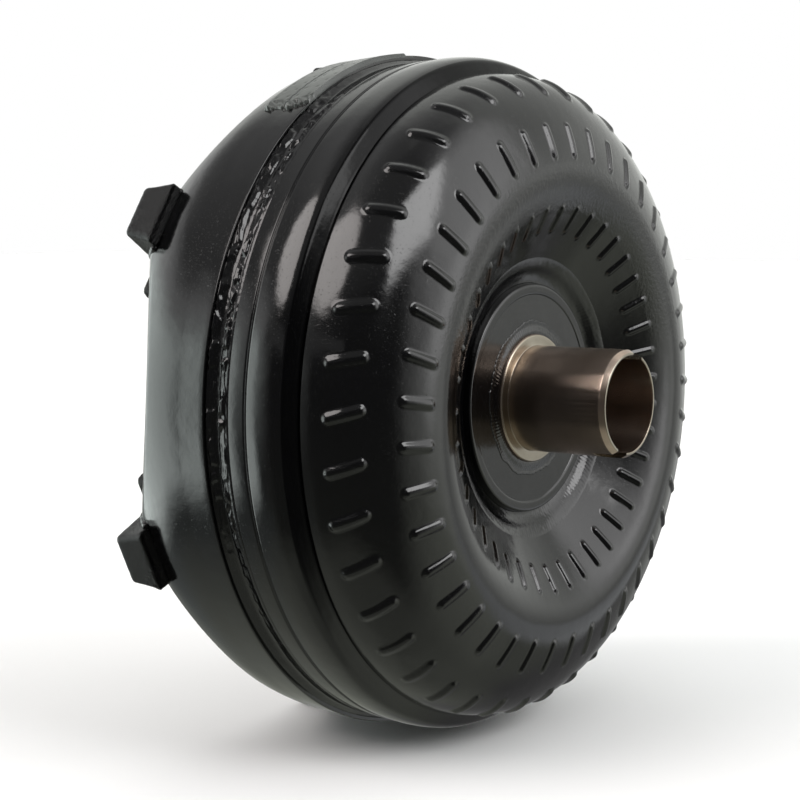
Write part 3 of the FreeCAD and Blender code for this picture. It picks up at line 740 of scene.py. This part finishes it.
def lug_blank():
    """A flat-sided block, rounded except at its rear, on a thin foot with rounded ends."""
    profile = [(0, LUG_BASE_R), (0, LUG_TOP_R), (15.9, 151.9), (15.4, 149.2), (16.4, 145.6),
               (3.0, LUG_BASE_R)]
    half = LUG_HALF_WIDTH
    bm = bmesh.new()
    front = [bm.verts.new((x, -half, r)) for x, r in profile]
    face = bm.faces.new(front)
    moved = bmesh.ops.extrude_face_region(bm, geom=[face])["geom"]
    corners = [v for v in moved if isinstance(v, bmesh.types.BMVert)]
    bmesh.ops.translate(bm, vec=(0, 2 * half, 0), verts=corners)
    bmesh.ops.recalc_face_normals(bm, faces=bm.faces)
    soft = [e for e in bm.edges if (e.verts[0].co + e.verts[1].co).x / 2 < 15.3]
    bmesh.ops.bevel(bm, geom=soft, offset=2.6, segments=6, profile=0.5, affect="EDGES")
    foot = bmesh.ops.create_cube(bm, size=1.0, matrix=Matrix.Translation((2.2, 0, 125.2))
                                 @ Matrix.Diagonal((3.6, 55.0, 7.4, 1.0)))
    ends = {e for v in foot["verts"] for e in v.link_edges if abs(e.verts[0].co.x - e.verts[1].co.x) > 1}
    bmesh.ops.bevel(bm, geom=list(ends), offset=3.0, segments=5, profile=0.5, affect="EDGES")
    mesh = bpy.data.meshes.new("lug_blank")
    bm.to_mesh(mesh)
    bm.free()
    blank = bpy.data.objects.new("lug_blank", mesh)
    bpy.context.scene.collection.objects.link(blank)
    return blank


def lug_mesh():
    """One lug in millimetres with a cast skin, a torn rear ridge and flared ends."""
    blank = lug_blank()
    remesh = blank.modifiers.new("even", "REMESH")
    remesh.mode = "VOXEL"
    remesh.voxel_size = 0.5
    apply_modifiers(blank)
    seat_x, widening = 0.6, 0.20
    for v in blank.data.vertices:
        p = v.co
        bumpy = noise.noise(p * 0.5) * 0.10 + noise.noise(p * 1.5 + Vector((9, 2, 5))) * 0.07
        edge = max(0.0, 1 - abs(p.x - LUG_REAR_X) / 1.5) * (p.z > 149.0)
        torn = edge * (noise.noise(p * 0.9) * 0.5 + noise.noise(p * 2.1) * 0.45)
        v.co = p + v.normal * (bumpy * (0.25 if p.x < seat_x else 1.0) + min(torn, 0.35))
        v.co.z = min(v.co.z, LUG_TOP_R + 0.1)
        if v.co.z > LUG_BASE_R + 0.5:       # above the foot
            v.co.y *= 1.0 + widening * min(1.0, max(0.0, p.x / 15.0))**1.5
    for radius, depth in LUG_BORES:
        bpy.ops.mesh.primitive_cylinder_add(vertices=64, radius=radius, depth=depth + 1,
                                            location=(depth / 2 - 0.5, 0, LUG_HOLE_R),
                                            rotation=(0, math.pi / 2, 0))
        cutter = bpy.context.object
        cutter.data.materials.append(BRIGHT)
        cut_away(blank, cutter)
    mesh = blank.data
    bpy.data.objects.remove(blank)
    return mesh


def build_lugs():
    source = lug_mesh()
    parts = []
    for k in range(LUG_COUNT):
        mesh = source.copy()
        mesh.transform(turn_to_lug(k) @ Matrix.Scale(MM, 4))
        parts.append(mesh)
    lugs = joined("lug_castings", parts, SATIN, sharp=50)
    ready(lugs, "satin_black", "mounting_lugs")


def build_lug_welds():
    """A rippled bead down each side of every lug."""
    start = Vector((3.6, 0, 134.0))
    end = Vector((14.6, 0, 145.3))
    run = end - start
    up = Vector((-run.z, 0, run.x)).normalized()
    side = Vector((0, 1, 0))
    stations, facets = 49, 16
    bead_r = 2.0
    meshes = []
    for k in range(LUG_COUNT):
        turn = turn_to_lug(k)
        for sign in (-1, 1):
            bm = bmesh.new()
            rings = []
            for i in range(stations):
                u = i / (stations - 1)
                taper = math.sqrt(max(0.0, 1 - (2 * u - 1)**8))
                ripple = 1 + 0.10 * math.sin(u * 34) + 0.08 * rng.uniform(-1, 1)
                size = bead_r * max(taper, 0.05) * ripple
                centre = start + run * u + side * sign * (LUG_HALF_WIDTH + 0.4 + 1.6 * u)
                ring = []
                for j in range(facets):
                    a = j / facets * 2 * math.pi
                    place = centre + (up * math.sin(a) + side * math.cos(a)) * size
                    ring.append(bm.verts.new(turn @ (place * MM)))
                rings.append(ring)
            for a, b in zip(rings, rings[1:]):
                for j in range(facets):
                    bm.faces.new((a[j], a[(j + 1) % facets], b[(j + 1) % facets], b[j]))
            bm.faces.new(rings[0][::-1])
            bm.faces.new(rings[-1])
            bmesh.ops.recalc_face_normals(bm, faces=bm.faces)
            mesh = bpy.data.meshes.new("bead")
            bm.to_mesh(mesh)
            bm.free()
            meshes.append(mesh)
    beads = joined("lug_beads", meshes, WELD, 60)
    ready(beads, "dark_weld", "lug_welds")


# ---- housing: balance weight --------------------------------------------------------------------
def weight_height(x, angle):
    """Height of the two strips above the cover wall, with molten ends and a slit between them."""
    flat = 0 * x
    wall = WALL_EDGE_R - 0.2 + flat
    ragged = 0.9 * wobble(x, wall, flat, 2.6, 0.5) + 0.7 * wobble(x, wall, flat, 7.0, 0.8)
    front_x, slit_x, rear_x = 39.2, 51.6, 63.6
    front_strip = x < slit_x
    # the ends of the front and of the rear strip, in degrees
    high_end = np.where(front_strip, 123.7, 124.6 - (x - 52) * 0.12) + 0.3 * ragged
    low_end = np.where(front_strip, 97.3, 94.3) - 0.1 * ragged
    inside = np.minimum(smoothstep(0, 0.35, high_end - angle), smoothstep(0, 0.35, angle - low_end))
    edge = np.minimum(smoothstep(front_x, 39.9, x), 1 - smoothstep(63.2, rear_x, x))
    open_slit = smoothstep(104, 107, angle)
    slit = 1 - 0.9 * open_slit * np.exp(-((x - slit_x - 0.15 * np.sin(angle * 3)) / 0.3)**2)
    melt = smoothstep(2.3, 1.5, high_end - angle)
    lumps = (0.75 * wobble(x, wall, angle, 2.4, 0.15) - 0.35) * melt
    dents = 0.05 * wobble(x, wall, angle, 16, 0.25) + 0.012 * wobble(x, wall, angle, 3.2, 0.65)
    pitch = 2.6                             # degrees from one row of clamp marks to the next
    row = (angle / pitch) % 1 - 0.5
    strip_middle = np.abs((x - 39.5) % 12.0 - 6.0)
    marks = -0.22 * np.exp(-((row * 7)**2 + ((strip_middle - 3.2) / 0.7)**2))
    thick = 1.0 + 0.75 * smoothstep(94, 108, angle)
    return (thick + lumps + dents + marks) * inside * edge * slit


def build_weights():
    steps_x = np.linspace(38.9, 63.8, 66)
    steps_a = np.linspace(92.5, 125.6, 260)
    x, angle = np.meshgrid(steps_x, steps_a, indexing="ij")
    wall = WALL_KNEE_R + (x - WALL_KNEE_X) * (WALL_EDGE_R - WALL_KNEE_R) / (WALL_EDGE_X - WALL_KNEE_X)
    rise = weight_height(x, angle)
    layers = []
    for r in (wall + rise - 0.35 * (rise < 0.05), wall - 0.9):
        a = np.radians(angle)
        layers.append(np.stack([x, r * np.cos(a), r * np.sin(a)], -1).reshape(-1, 3) * MM)
    rows, columns = x.shape
    count = rows * columns
    faces = []
    for i in range(rows - 1):
        for j in range(columns - 1):
            a = i * columns + j
            quad = (a, a + 1, a + columns + 1, a + columns)
            faces.append(quad)
            faces.append(tuple(q + count for q in quad[::-1]))
    rim = list(range(columns)) + [i * columns + columns - 1 for i in range(1, rows)]
    rim += [(rows - 1) * columns + j for j in range(columns - 2, -1, -1)]
    rim += [i * columns for i in range(rows - 2, 0, -1)]
    for a, b in zip(rim, rim[1:] + rim[:1]):
        faces.append((b, a, a + count, b + count))
    weights = new_object("balance_strips", np.vstack(layers).tolist(), faces, [PATCH], sharp=55)
    ready(outward(weights), "gloss_black", "balance_weight")


# ---- stage, light and camera --------------------------------------------------------------------
def aim(azimuth, elevation):
    """Unit direction: azimuth from -Y toward +X, elevation above the floor, in degrees."""
    a, e = math.radians(azimuth), math.radians(elevation)
    return Vector((math.sin(a) * math.cos(e), -math.cos(a) * math.cos(e), math.sin(e)))


class Studio(Tree):
    """The light round the object: broad zones by height and side, and soft boxes let into them."""

    def __init__(self):
        world = bpy.data.worlds.new("studio")
        bpy.context.scene.world = world
        world.use_nodes = True
        self.tree = world.node_tree
        self.direction = self.add("ShaderNodeTexCoord").outputs["Generated"]

    def put(self, socket, value):
        if isinstance(value, bpy.types.NodeSocket):
            self.tree.links.new(value, socket)
        else:
            socket.default_value = value

    def math(self, operation, a, b=0.0):
        node = self.add("ShaderNodeMath", operation=operation)
        self.put(node.inputs[0], a)
        self.put(node.inputs[1], b)
        return node.outputs[0]

    def along(self, source, axis):
        node = self.add("ShaderNodeVectorMath", operation="DOT_PRODUCT")
        self.put(node.inputs[0], source)
        node.inputs[1].default_value = axis
        return node.outputs["Value"]

    def step(self, value, low, high):
        node = self.add("ShaderNodeMapRange", interpolation_type="SMOOTHSTEP")
        self.put(node.inputs["Value"], value)
        node.inputs["From Min"].default_value = low
        node.inputs["From Max"].default_value = high
        return node.outputs["Result"]

    def blend(self, kind, factor, a, b):
        node = self.add("ShaderNodeMix", data_type="RGBA", blend_type=kind)
        colours = [i for i in node.inputs if i.type == "RGBA"]
        self.put(node.inputs[0], factor)
        self.put(colours[0], a)
        self.put(colours[1], b)
        return [o for o in node.outputs if o.type == "RGBA"][0]

    def by_height(self, stops):
        """A colour for each elevation, from (degrees, brightness, tint) stops."""
        height = self.math("MULTIPLY_ADD", self.along(self.direction, (0, 0, 1)), 0.5)
        height.node.inputs[2].default_value = 0.5
        places = [(0.5 + 0.5 * math.sin(math.radians(degrees)), tuple(level * c for c in tint))
                  for degrees, level, tint in stops]
        return self.ramp(height, places)

    def sector(self, azimuth, half, soft):
        """One inside a sector of azimuth, fading to nought over the soft margin."""
        level = self.add("ShaderNodeVectorMath", operation="MULTIPLY")
        self.put(level.inputs[0], self.direction)
        level.inputs[1].default_value = (1, 1, 0)
        unit = self.add("ShaderNodeVectorMath", operation="NORMALIZE")
        self.put(unit.inputs[0], level.outputs[0])
        cosine = self.along(unit.outputs[0], aim(azimuth, 0))
        return self.step(cosine, math.cos(math.radians(half + soft)), math.cos(math.radians(half)))

    def soft_box(self, below, azimuth, elevation, width, height, roll, level, tint, soft=0.05, disc=False):
        """Adds a bright rectangle or disc: width and height in degrees, rolled about its own middle."""
        middle = aim(azimuth, elevation)
        side = Vector((0, 0, 1)).cross(middle).normalized()
        up = middle.cross(side)
        turn = Matrix.Rotation(math.radians(roll), 3, middle)
        depth = self.math("MAXIMUM", self.along(self.direction, middle), 0.001)
        mask = self.step(depth, 0.02, 0.2)
        squares = 0.0
        for axis, extent in ((turn @ side, width), (turn @ up, height)):
            place = self.math("ABSOLUTE", self.math("DIVIDE", self.along(self.direction, axis), depth))
            reach = math.tan(math.radians(extent / 2))
            if disc:
                ratio = self.math("DIVIDE", place, reach)
                squares = self.math("ADD", self.math("MULTIPLY", ratio, ratio), squares)
            else:
                mask = self.math("MULTIPLY", mask, self.step(place, reach + soft, reach - soft))
        if disc:
            mask = self.math("MULTIPLY", mask, self.step(squares, 1.0 + 4 * soft, 1.0 - 4 * soft))
        colour = (*(level * c for c in tint), 1.0)
        return self.blend("MIX", mask, below, colour)


def build_light():
    studio = Studio()
    neutral = (1, 1, 1)
    green = (0.92, 1.0, 0.97)
    warm = (1.0, 0.95, 0.93)
    moss = (0.96, 1.0, 0.87)
    pale = (0.98, 1.0, 0.96)
    cool = (0.95, 0.98, 1.0)
    back = studio.by_height([(-50, 0.40, moss), (-30, 0.34, moss), (-14, 0.45, pale), (-4, 0.75, pale),
                             (7, 1.15, pale), (28, 0.85, pale), (55, 1.0, pale), (78, 0.5, neutral)])
    right = studio.by_height([(-50, 0.47, moss), (-20, 0.85, moss), (-5, 1.5, pale), (8, 1.7, neutral),
                              (20, 2.4, neutral), (42, 2.1, neutral), (60, 0.6, neutral),
                              (78, 0.36, neutral)])
    front = studio.by_height([(-50, 0.38, moss), (-38, 0.12, moss), (0, 0.085, neutral),
                              (26, 0.09, neutral), (42, 0.28, neutral), (70, 0.30, neutral)])
    left = studio.by_height([(-48, 0.45, moss), (-32, 0.25, green), (-20, 0.14, green), (-10, 0.6, green),
                             (6, 1.4, green), (20, 1.1, neutral), (29, 0.29, neutral), (42, 0.33, neutral),
                             (58, 0.6, neutral), (78, 0.38, neutral)])
    light = studio.blend("MIX", studio.sector(115, 17, 16), back, right)
    light = studio.blend("MIX", studio.sector(-77, 29, 24), light, left)
    light = studio.blend("MIX", studio.sector(32, 54, 30), light, front)
    # low and behind the object: two dim patches that are a painted shadow of the object on the floor behind
    # it, with a brighter one beside them
    light = studio.soft_box(light, -172, -36, 50, 36, 0, 0.2, neutral, 0.15)
    light = studio.soft_box(light, 152, -19, 26, 16, 0, 0.85, cool, 0.06)
    light = studio.soft_box(light, -153, -17, 26, 16, 0, 0.3, neutral, 0.06)
    # a faint strip in front, the round key light, the window light and the wide side light
    light = studio.soft_box(light, -10, 19, 58, 7, 0, 0.33, neutral, 0.03)
    light = studio.soft_box(light, -29, 44, 39, 33, 0, 5.4, warm, disc=True)
    light = studio.soft_box(light, 91, 38, 29, 25, 0, 6.5, neutral)
    light = studio.soft_box(light, -76, -5, 54, 40, 0, 3.0, green, 0.10)
    # a tilted panel that runs along the crest of the shell
    light = studio.soft_box(light, 121.5, 6.5, 24, 13, 39, 3.0, neutral, 0.12)
    background = studio.tree.nodes["Background"]
    studio.put(background.inputs["Color"], light)
    white = studio.add("ShaderNodeBackground")
    white.inputs["Color"].default_value = (1, 1, 1, 1)
    choice = studio.add("ShaderNodeMixShader")
    rays = studio.add("ShaderNodeLightPath")
    studio.put(choice.inputs[0], rays.outputs["Is Camera Ray"])
    studio.put(choice.inputs[1], background.outputs[0])
    studio.put(choice.inputs[2], white.outputs[0])
    studio.put(studio.tree.nodes["World Output"].inputs["Surface"], choice.outputs[0])

    lamp = bpy.data.lights.new("top_fill", "AREA")
    lamp.shape = "RECTANGLE"
    lamp.size = 3.0
    lamp.size_y = 3.0
    lamp.energy = 22
    fill = bpy.data.objects.new("top_fill", lamp)
    fill.location = (0.1, 0, 2.2)
    fill.visible_glossy = False
    bpy.context.scene.collection.objects.link(fill)


def build_floor():
    m = Nodes("pale_floor")
    m.wire(Base_Color=m.ramp(m.noise(3, 2), [(0.3, (0.86, 0.86, 0.86)), (0.7, (0.88, 0.88, 0.88))]))
    m.set(Roughness=0.9)
    bpy.ops.mesh.primitive_plane_add(size=14.0, location=(0.08, 0, cad_box[0].z - 0.0006))
    floor = bpy.context.object
    floor.name = "floor"
    floor.data.materials.append(m.material)
    floor.visible_glossy = False


def build_camera():
    """A long lens off to one side of the hub's axis and a little above it."""
    distance = 0.8821
    pan, tilt = math.radians(1.7146), math.radians(-0.2133)
    target = Vector((0.0833, 0, 0))
    back = aim(33.79, 5.603)
    right = Vector((0, 0, 1)).cross(back).normalized()
    up = back.cross(right)
    turn = Matrix.Rotation(pan, 3, up)
    right, back_turned = turn @ right, turn @ back
    turn = Matrix.Rotation(tilt, 3, right)
    up, back_turned = turn @ up, turn @ back_turned
    camera = bpy.data.cameras.new("camera")
    camera.sensor_width = 36.0
    camera.lens = 85.5
    obj = bpy.data.objects.new("camera", camera)
    axes = Matrix((right, up, back_turned)).transposed()
    obj.matrix_world = Matrix.Translation(target + back * distance) @ axes.to_4x4()
    bpy.context.scene.collection.objects.link(obj)
    bpy.context.scene.camera = obj


dress_cad_nodes()
build_cover()
build_shell()
build_seam()
build_ring_welds()
build_flange()
build_hub()
build_lugs()
build_lug_welds()
build_weights()
build_floor()
build_light()
build_camera()
bpy.context.scene.view_settings.view_transform = "Standard"
